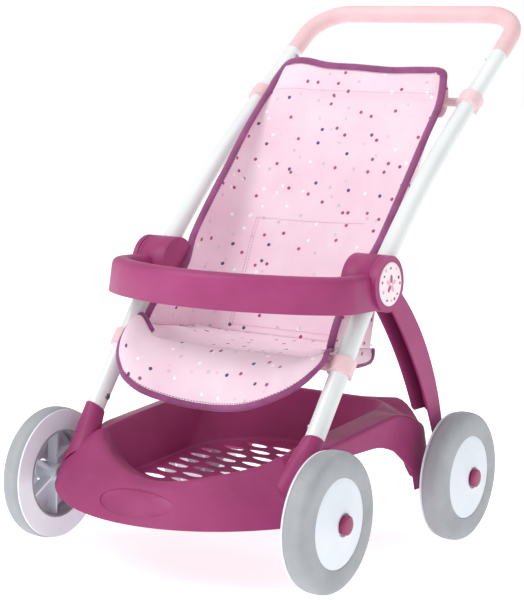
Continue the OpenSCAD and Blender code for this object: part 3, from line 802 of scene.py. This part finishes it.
def make_bumper():
    rows = []
    for x, y, nx, ny in bar_path():
        # The sides bow out a little between hub and corner.
        bow = 1.3 * smooth((-8 - y) / 45) * smooth((abs(x) - 60) / 60)
        rows.append([V(x + nx * (bow - q), y + ny * (bow - q), z) for q, z in bar_profile()])
    return grid_object("bumper_shell", rows, "plum", wrap=True, closed=True)


def hub_solid(name, outline, material, n):
    """A closed turned body about the hub's X axis, on both sides: outline of (x, r) points."""
    return join(name, [lathe_x(name, outline, (HUB_Y, HUB_Z), side, material, n) for side in (-1, 1)])


# The outer hub halves, with a rolled edge, a double parting line and a shallow rebate.
HUB_CUP = [(111.6, 0.0), (111.6, 27.6), (111.9, 28.6), (112.9, 29.2), (143.6, 29.2), (143.8, 28.6),
           (144.5, 28.6), (144.7, 29.2), (147.2, 29.2), (147.8, 29.0), (148.2, 28.5), (148.2, 0.0)]
# The pale domed badge. It carries dots and a flower instead of lettering.
BADGE = [(154.02, 0.0), (154.02, 22.6), (154.5, 22.6), (154.9, 22.0), (155.1, 20.5), (155.3, 0.0)]
DOT_TONES = ["ink_rose", "ink_navy", "ink_grey", "ink_rose", "ink_pink", "ink_navy", "ink_rose",
             "ink_grey", "ink_navy", "ink_pink", "ink_rose", "ink_navy"]


def ink_spot(side, polar_at, halves, turn, faces, tone, n):
    """A thin raised ellipse of ink: (radius, angle) on the badge, half-axes, its own turn."""
    rad, angle = polar_at
    cy, cz = HUB_Y + rad * math.cos(angle), HUB_Z + rad * math.sin(angle)
    low, top = faces
    rows = []
    for x, k in ((low, 1.0), (top - 0.04, 1.0), (top, 0.9), (top, 0.01)):
        row = []
        for j in range(n):
            b = 2 * math.pi * j / n
            u, w = halves[0] * k * math.cos(b), halves[1] * k * math.sin(b)
            row.append(V(side * x, cy + u * math.cos(turn) - w * math.sin(turn),
                         cz + u * math.sin(turn) + w * math.cos(turn)))
        rows.append(row)
    return grid_object("spot", rows, tone, wrap=True)


def make_badge_ink():
    """A ring of dots round a flower of five petals, one object for each tone."""
    inks = {}
    for side in (-1, 1):
        for i, tone in enumerate(DOT_TONES):
            where = (17.4 + math.cos(3 * i), 2 * math.pi * i / len(DOT_TONES) + 0.15 * math.sin(5 * i))
            r = 1.5 + 0.3 * math.sin(2.1 * i)
            inks.setdefault(tone, []).append(ink_spot(side, where, (r, r), 0, (155.1, 155.4), tone, 16))
        for i in range(5):
            a = 2 * math.pi * i / 5 + 0.3
            tone = "ink_rose" if i % 2 else "ink_pink"
            petal = ink_spot(side, (5.6, a), (4.2, 2.4), a, (155.2, 155.46), tone, 20)
            inks.setdefault(tone, []).append(petal)
    return [join("badge_" + k, v) for k, v in inks.items()]


settle(make_bumper(), "frame", "plum_plastic", "bumper_bar")
settle(hub_solid("hub_cups", HUB_CUP, "plum", 72), "frame", "plum_plastic",
       "hub_clamp_left", "hub_clamp_right")
settle(hub_solid("hub_badges", BADGE, "badge", 64), "frame", "rosy_plastic",
       "hub_badge_left", "hub_badge_right")
for o in make_badge_ink():
    settle(o, "frame", "rosy_plastic")


# ---------------------------------------------------------------- front sockets
TUBE_SLOPE = math.radians(54)
SOCKET_ROUND, SOCKET_ROWS = 64, 26


def make_socket(side):
    """The sleeve at the foot of a tube: tight at its mouth, it flares inwards to the basket."""
    down = Vector((0, -math.cos(TUBE_SLOPE), -math.sin(TUBE_SLOPE)))
    front = Vector((0, -math.sin(TUBE_SLOPE), math.cos(TUBE_SLOPE)))
    mouth = Vector((side * 137, -109.7, 142.6))
    turns = [2 * math.pi * j / SOCKET_ROUND for j in range(SOCKET_ROUND)]

    def at(a, d, r):
        return V(*(mouth + down * d + (Vector((-side, 0, 0)) * math.cos(a) + front * math.sin(a)) * r))

    def ring(u, shrink=0.0):
        out = []
        for a in turns:
            d = lerp(1.6 + 1.8 * math.cos(a + 0.63), 46 + 24 * math.cos(a - 1.83), u)
            flare = 0.23 * d * max(0.0, math.cos(a)) ** 1.3 - 0.06 * d * max(0.0, -math.cos(a))
            out.append(at(a, d, 10.9 + flare - shrink))
        return out

    rows = [[at(a, 6, 10.05) for a in turns], ring(0.0, 0.8), ring(0.004, 0.25), ring(0.014)]
    rows += [ring(i / SOCKET_ROWS) for i in range(1, SOCKET_ROWS + 1)]
    return grid_object("socket_" + ("left" if side < 0 else "right"), rows, "plum", wrap=True)


for side, nm in ((-1, "left"), (1, "right")):
    settle(make_socket(side), "frame", "plum_plastic", "front_socket_" + nm)


# ---------------------------------------------------------------- wheels
# Outlines of (x, r) points, in mm from the middle of the object and from the wheel's axis.
TYRE = [(160.8, 45.05), (160.9, 58.5), (161.5, 63.8), (163.0, 67.4), (165.8, 69.4), (169.0, 70.0),
        (175.5, 70.0), (179.2, 69.5), (182.2, 67.9), (184.4, 64.8), (185.6, 60.2), (185.9, 54.0),
        (185.5, 48.5), (184.9, 45.05)]
CAP = [(189.7, 0.0), (189.7, 9.8), (193.6, 9.8), (194.5, 9.45), (195.1, 8.5), (195.5, 5.5),
       (195.7, 0.0)]


def turned(name, outline, y, side, material, n):
    """A closed turned body on a wheel's axis; a fine spline rounds the outline."""
    pts = [Vector((x, r, 0)) for x, r in outline]
    body = [(q.x, max(0.0, q.y)) for q in (spline(pts, 3) if n > 64 else pts)]
    if outline[0][1] > 0:
        body.append(body[0])
    return lathe_x(name, body, (y, WHEEL_Z), side, material, n)


for end, y in WHEEL_ENDS.items():
    for side, nm in ((-1, "left"), (1, "right")):
        spot = end + "_" + nm
        tyre = turned("tyre_body_" + spot, TYRE, y, side, "tyre", 120)
        cap = turned("cap_body_" + spot, CAP, y, side, "cap", 48)
        settle(tyre, "wheel_set_" + spot, "grey_tyre", "tyre_" + spot)
        settle(cap, "wheel_set_" + spot, "plum_plastic", "cap_" + spot)


# ---------------------------------------------------------------- seat cloth
# Matching points down the seat, as (y, z): the bound front edge of the sides, and the back.
EDGE_KEYS = [0.0, 0.04, 0.1, 0.2, 0.35, 0.45, 0.6, 0.74, 0.88, 1.0]
EDGE = [(187, 507), (178, 490), (164, 469), (132, 435), (95, 391), (74, 367), (33.5, 319), (3, 284),
        (-38, 250), (-54, 226)]
EDGE_X = [109, 112, 115, 116.5, 117, 117.5, 116.5, 107.5, 115.5, 118]
BACK = [(190, 508), (181, 493), (170, 472), (150, 433), (126, 380), (113, 350), (92, 313), (77, 283),
        (59, 250), (44, 214)]
CORNER_X = [109, 110.5, 112, 114, 115, 116, 114.5, 107, 113, 115]
CORNER_R = [4, 6, 8, 14, 22, 26, 30, 30, 28, 22]


def seat_row(v):
    """Points across the seat at share v of its length, from the left edge to the right one."""
    e = table(EDGE_KEYS, EDGE, v)
    b = table(EDGE_KEYS, BACK, v)
    ex, cx, r = (table(EDGE_KEYS, q, v) for q in (EDGE_X, CORNER_X, CORNER_R))
    e3, c3, m3 = Vector((ex, *e)), Vector((cx, *b)), Vector((0, *b))
    side_len = (c3 - e3).length
    r1 = min(r, side_len * 0.75)
    s, q = c3 + (e3 - c3).normalized() * r1, c3 + (m3 - c3).normalized() * r
    pts = [e3.lerp(s, i / 8) for i in range(8)]
    pts += [(1 - t) ** 2 * s + 2 * t * (1 - t) * c3 + t * t * q for t in [i / 10 for i in range(10)]]
    pts += [q.lerp(m3, i / 18) for i in range(18)]
    right = pts + [m3]
    left = [Vector((-p.x, p.y, p.z)) for p in pts]
    return left + right[::-1]


def seat_offset(x, v):
    """Slack, folds and the top hem's step: how far the cloth stands forward, in mm."""
    # The back sags between its edges and bulges forward above the hips.
    flat = max(0.0, 1 - (x / 95) ** 2)
    f = -5.0 * flat * math.sin(math.pi * min(1, max(0, (v - 0.1) / 0.9)))
    # The step under the sleeve at the top.
    f += 3.0 * (1 - smooth((v - 0.082) / 0.012)) * smooth((106 - abs(x)) / 6)
    f -= 0.9 * bell(v, 0.1, 0.012) * smooth((106 - abs(x)) / 10)
    # Folds that fan out from the left end of the sleeve's seam.
    run = x + 92
    for slope, a in ((0.9, 1.5), (1.7, 1.2), (3.2, 0.9)):
        crease = bell((v - 0.095) * 300, slope * run, 3 + 0.12 * abs(run))
        f += a * crease * smooth(run / 14) * bell(run, 0, 55)
    # Long diagonal drags from the upper corners.
    for sx, a, ph in ((1, 0.9, 0.4), (-1, 0.7, 2.1)):
        drag = math.sin((x * sx * 0.55 + v * 260) / 34 + ph)
        f += a * drag * bell(sx * x, 55, 60) * bell(v, 0.42, 0.3)
    return f + 0.8 * math.sin(x / 17 + 5 * v) * math.sin(v * 19) * smooth((v - 0.15) / 0.2) * flat


def top_rise(x, k):
    """The top edge waves: higher towards the sides, low in the middle."""
    return k * (7.0 * bell(x, -80, 26) - 3.5 * bell(x, 45, 38) - 1.5 * bell(x, 92, 14)
                - 15 * smooth((-x - 99) / 11) - 5 * smooth((x - 103) / 8))


SEAT_ROWS = 120


def build_seat():
    rows, uvs = [], []
    mid_v = 0.0
    for i in range(SEAT_ROWS + 1):
        v = i / SEAT_ROWS
        row = seat_row(v)
        d = (np.array(table(EDGE_KEYS, BACK, min(1, v + 0.01)))
             - np.array(table(EDGE_KEYS, BACK, max(0, v - 0.01))))
        d /= np.linalg.norm(d)
        nrm = Vector((0, d[1], -d[0]))  # forward and up from the back
        if nrm.y > 0:
            nrm = -nrm
        out = []
        for p in row:
            rise = top_rise(p.x, 1 - smooth(v / 0.12))
            q = p + nrm * seat_offset(p.x, v)
            out.append(V(q.x, q.y + rise * 0.45, q.z + rise * 0.9))
        mid = len(row) // 2
        if i:
            mid_v -= (out[mid] - rows[-1][mid]).length
        across = [length_of(row[:j + 1]) / 1000 for j in range(len(row))]
        rows.append(out)
        uvs.append([(s - across[mid], mid_v) for s in across])
    return rows, uvs


seat_rows, seat_uvs = build_seat()
seat_shell = grid_object("seat_shell", seat_rows, "cloth", seat_uvs)
thicken(seat_shell, 1.3)
settle(seat_shell, "frame", "seat_cloth", "seat_back", "seat_side_left", "seat_side_right")

FLAP_X = [0, 41, 69, 93, 102.5, 121, 126, 128]
FLAP_Y = [-111, -116, -121, -117, -111, -94, -82, -72]


def ridge(x):
    """The fold over the lower cross bar."""
    a = abs(x)
    z = 214.5 + 9.0 * smooth((a - 96) / 30) + (1.5 if x < 0 else 0) * smooth((-x - 60) / 40)
    z -= 1.5 * bell(x, 0, 40)
    lift = smooth((-x - 84) / 42)
    return Vector((x + 7 * lift**2, -68 - 4 * smooth((a - 100) / 28) + 8 * lift, z + 13 * lift))


def flap_edge(theta):
    x = 127 * math.sin(theta)
    z = 159 + 64 * (1 - math.cos(theta))
    lift = smooth((-x - 84) / 42) * smooth((z - 192) / 31)
    return Vector((x + 7 * lift**2, table(FLAP_X, FLAP_Y, abs(x)) + 8 * lift, z + 13 * lift))


def build_flap():
    rows, uvs = [], []
    n, m = 72, 30
    for j in range(m + 1):
        w = j / m
        row, uv = [], []
        for i in range(n + 1):
            th = math.pi / 2 * (2 * i / n - 1)
            e = flap_edge(th)
            r = ridge(e.x)
            out = e - r
            out_n = Vector((0, -abs(out.z) - 1, 30)).normalized()
            size = min(1.0, out.length / 60)
            belly = 52 * w * (1 - w) * (1 - 0.25 * w)
            ripple = 1.3 * math.sin(e.x / 15 + 2 * w) * math.sin(math.pi * w)
            row.append(V(*(r.lerp(e, w) + out_n * (size * (belly + ripple)))))
            uv.append((e.x / 1000 + 0.4, -0.5 - w * max(10, out.length) / 1000))
        rows.append(row)
        uvs.append(uv)
    return rows, uvs


flap_rows, flap_uvs = build_flap()


def build_pan():
    rows, uvs = [], []
    n, m = 60, 36
    for j in range(m + 1):
        w = j / m
        row, uv = [], []
        for i in range(n + 1):
            u = 2 * i / n - 1
            x_front = 128 * math.sin(math.pi / 2 * u)
            rear_x = 113 * u
            r = ridge(x_front)
            x = lerp(x_front, rear_x, smooth(w * 2.2))
            back = Vector((rear_x, 44 - 4 * abs(u) ** 6, 214 + 4 * abs(u) ** 8))
            y = lerp(r.y, back.y, w)
            side = smooth((abs(x) - 85) / 30)
            z = lerp(r.z, back.z, w)
            dip = math.sin(math.pi * min(1, w * 1.02))
            z -= (4 + 6 * side) * dip
            # The pan drops behind the fold at its left end and makes a deep crease.
            z -= 8 * bell(x, -88, 26) * bell(w, 0.16, 0.1)
            z -= 5 * bell(x, 96, 22) * bell(w, 0.14, 0.09)
            z += 1.2 * math.sin(x / 19) * math.sin(w * 9) * dip
            row.append(V(x, y, z))
            uv.append((x / 1000 + 0.13, -0.9 - w * 0.115))
        rows.append(row)
        uvs.append(uv)
    return rows, uvs


pan_rows, pan_uvs = build_pan()
flap = grid_object("seat_flap_cloth", flap_rows, "cloth", flap_uvs)
thicken(flap, 1.3)
settle(flap, "frame", "seat_cloth", "seat_flap")
pan = grid_object("seat_pan_cloth", pan_rows, "cloth", pan_uvs)
thicken(pan, 1.3)
settle(pan, "frame", "seat_cloth", "seat_pan")

# The sleeve behind the top of the back, round the upper cross bar.
hem_rows, hem_uvs = [], []
HEM = [(188, 504), (194, 497), (199, 486), (200, 474), (197, 464), (188, 457), (176, 456), (163, 456)]
hem_line = spline([Vector((0, y, z)) for y, z in HEM], 8)
for j, p in enumerate(hem_line):
    row, uv = [], []
    for i in range(41):
        u = 2 * i / 40 - 1
        x = 107 * u
        k = 1 - j / (len(hem_line) - 1)
        rise = k**3 * (7.0 * bell(x, -80, 26) - 15 * smooth((-x - 97) / 10))
        row.append(V(x, p.y + 0.6 * math.sin(x / 13) * math.sin(3.1 * k), p.z + rise * 0.9))
        uv.append((x / 1000, 0.4 - j * 0.0022))
    hem_rows.append(row)
    hem_uvs.append(uv)
hem = grid_object("seat_sleeve", hem_rows, "cloth", hem_uvs)
thicken(hem, 1.2)
settle(hem, "frame", "seat_cloth")

# Bound edges.
def bound(name, path, seed, guide, r1=4.6, r2=2.2):
    """Bias tape along a path, with half-axes r1 and r2 in mm."""
    pts = resample(spline(resample(path, 0.006), 4), 0.0016)
    return tube(name, pts, r1 / 1000, r2 / 1000, "piping", guide, 14, 0.05, seed)


loop = [r[0] for r in seat_rows[::-1]] + seat_rows[0][1:-1] + [r[-1] for r in seat_rows]
# The corners are rounded a little so that the tape turns smoothly.
loop = resample(loop, 0.005)
for _ in range(2):
    loop = [loop[0]] + [(a + b * 2 + c) / 4 for a, b, c in zip(loop, loop[1:], loop[2:])] + [loop[-1]]
piping_seat = bound("piping_seat", loop, 3, Vector((0.0, -0.55, 0.35)))
flap_path = [V(*flap_edge(math.pi / 2 * (2 * i / 90 - 1))) for i in range(91)]
# The tape turns over the raised left corner and runs a little way down the fold.
turn_left = [ridge(x) for x in (-100, -106, -112, -117.5, -122)]
turn_right = [(ridge(x), back) for x, back in ((126, 3), (123, 7), (121, 12), (120, 18))]
flap_path = [V(q.x, q.y + 2.5, q.z + 0.6) for q in turn_left] + flap_path[4:]
flap_path += [V(q.x - 0.5, q.y + back, q.z + 0.4) for q, back in turn_right]
piping_flap = bound("piping_flap", flap_path, 5, Vector((0, -1, 0.3)), 3.6)
for o in (piping_seat, piping_flap):
    settle(o, "frame", "seat_cloth")


THREAD_LIFT = 0.0007  # from the middle of the cloth to its face


def seat_point(x, v):
    """Point and outward normal on the seat's front at mm x and share v of its length."""
    i = max(0, min(SEAT_ROWS - 2, int(v * SEAT_ROWS)))

    def at(k):
        row = seat_rows[k]
        j = next((j for j in range(1, len(row)) if row[j].x * 1000 >= x), len(row) - 1)
        a, b = row[j - 1], row[j]
        return a.lerp(b, (x / 1000 - a.x) / max(1e-6, b.x - a.x)), (b - a).normalized()

    (p, across), (q, _) = at(i), at(i + 1)
    n = across.cross((q - p).normalized())
    if n.y > 0:
        n = -n
    return p.lerp(q, v * SEAT_ROWS - i) + n * THREAD_LIFT, n


SEAM_POINTS = 60


def seam(start, end):
    """Stitches on the seat's front between two (x, v) points."""
    pts = [seat_point(lerp(start[0], end[0], k / SEAM_POINTS), lerp(start[1], end[1], k / SEAM_POINTS))
           for k in range(SEAM_POINTS + 1)]
    return stitches([p for p, _ in pts], [n for _, n in pts], "thread")


seams = [seam((-103, 0.078), (103, 0.074)), seam((-81, 0.502), (-74, 0.985)),
         seam((-77.5, 0.502), (-70.5, 0.985)), seam((-81, 0.5), (60, 0.487)),
         seam((-70, 0.975), (108, 0.975))]
settle(join("seat_seams", seams), "frame", "seat_cloth")


def edge_stitches(edge, inner, inset):
    """Stitches inset mm inside a bound edge; inner has a point inwards of each edge point."""
    path, normals = [], []
    for a, b, c in zip(edge, inner, edge[1:] + [edge[-1] * 2 - edge[-2]]):
        inward = (b - a).normalized()
        n = inward.cross((c - a).normalized())
        if n.y > 0:
            n = -n
        path.append(a + inward * inset / 1000 + n * THREAD_LIFT)
        normals.append(n)
    return stitches(path, normals, "dark_thread")


edges = [edge_stitches([r[j] for r in seat_rows], [r[k] for r in seat_rows], 5.3)
         for j, k in ((0, 4), (-1, -5))]
edges.append(edge_stitches(seat_rows[0], seat_rows[3], 5.3))
edges.append(edge_stitches(flap_rows[-1][2:-1], flap_rows[-4][2:-2], 4.3))
settle(join("edge_seams", edges), "frame", "seat_cloth")

# The bound edge under each side, as (x, y, z), and the gusset that closes the side above it.
UNDER = [(118, -66, 214), (118.5, -55, 204.5), (118.5, -30, 202), (118, 0, 200.5), (117.5, 27, 201.5)]
GUSSET_COLUMNS, GUSSET_ROWS = 30, 8


def under(side, *points):
    return [V(side * x, y, z) for x, y, z in points]


for side, nm in ((-1, "left"), (1, "right")):
    path = spline(under(side, (116.5, -54, 226), *UNDER, (116, 37, 206), (113, 43, 213)), 8)
    settle(bound("piping_under_" + nm, path, 7, Vector((side, 0, 0)), 2.6, 1.6), "frame", "seat_cloth")


def even(points, count):
    """The points again, count evenly spaced steps of them."""
    return resample(points, length_of(points) / count)[:count + 1]


for side, nm in ((-1, "left"), (1, "right")):
    low = even(resample(spline(under(side, *UNDER, (113.5, 43, 213)), 8), 0.004), GUSSET_COLUMNS)
    last = seat_rows[-1] if side < 0 else seat_rows[-1][::-1]
    high = even(resample(last[:19], 0.004), GUSSET_COLUMNS)
    rows, uvs = [], []
    for k in range(GUSSET_ROWS + 1):
        w = k / GUSSET_ROWS
        bulge = Vector((side * 0.002 * math.sin(math.pi * w), 0, 0))
        rows.append([h.lerp(l, w) + bulge for h, l in zip(high, low)])
        uvs.append([(i * 0.004 + 0.2 * side, -0.7 - w * 0.02) for i in range(len(rows[0]))])
    o = grid_object("seat_gusset_" + nm, rows, "cloth", uvs)
    thicken(o, 1.2)
    settle(o, "frame", "seat_cloth")


# ---------------------------------------------------------------- floor, light, camera
def make_stage():
    """A wide flat floor of pale paper."""
    m, nt, b = new_material("studio_paper")
    put(nt, b, Base_Color=ramp(nt, noise(nt, 3, 2), [(0.3, 0.74), (0.7, 0.76)]), Roughness=0.6,
        Emission_Color=(1, 1, 1, 1), Emission_Strength=0.72)
    MAT["paper"] = m
    rows = [[Vector((4.0 * i - 40, 4.0 * j - 40, -0.0003)) for i in range(21)] for j in range(21)]
    grid_object("studio_floor", rows, "paper")


make_stage()


def area_light(name, pos, target, size, power):
    d = bpy.data.lights.new(name, "AREA")
    d.shape = "RECTANGLE"
    d.size = d.size_y = size
    d.energy = power
    o = link(name, d)
    o.location = pos
    o.rotation_euler = (Vector(target) - Vector(pos)).to_track_quat("-Z", "Y").to_euler()


area_light("key", (-1.3, -1.9, 2.3), (0, 0, 0.25), 1.6, 36)
area_light("fill", (2.6, -1.6, 1.5), (0, 0, 0.3), 2.2, 5)
area_light("top", (0.2, 0.4, 3.0), (0, 0, 0.2), 2.6, 20)

world = bpy.data.worlds.new("studio")
bpy.context.scene.world = world
world.use_nodes = True
wt = world.node_tree
split = node(wt, "SeparateXYZ", Vector=node(wt, "TexCoord").outputs["Generated"])
# A white surround near the horizon, dimmer overhead and dimmest on the right.
overhead = ramp(wt, split.outputs[0], [(0.3, 0.5), (0.9, 0.22)])
height = ramp(wt, split.outputs[2], [(0.2, 0), (0.34, 1)])
wt.links.new(mix(wt, height, (1, 1, 1, 1), overhead), wt.nodes["Background"].inputs[0])
bpy.context.scene.view_settings.view_transform = "Standard"

cam_data = bpy.data.cameras.new("camera")
cam = link("camera", cam_data)
cam_data.lens = 108.29
cam_data.sensor_width = 36
cam_data.sensor_fit = "AUTO"
cam_data.clip_end = 50
CAMERA_AT = (1045.8, -1599.95, 490.6)
az, el, roll = (math.radians(a) for a in (33.202, 6.918, 1.677))
back = Vector((math.sin(az) * math.cos(el), -math.cos(az) * math.cos(el), math.sin(el)))
right = Vector((math.cos(az), math.sin(az), 0))
up = back.cross(right)
right2 = right * math.cos(roll) + up * math.sin(roll)
up2 = back.cross(right2)
cam.matrix_world = Matrix.Translation(V(*CAMERA_AT)) @ Matrix((right2, up2, back)).transposed().to_4x4()
bpy.context.scene.camera = cam
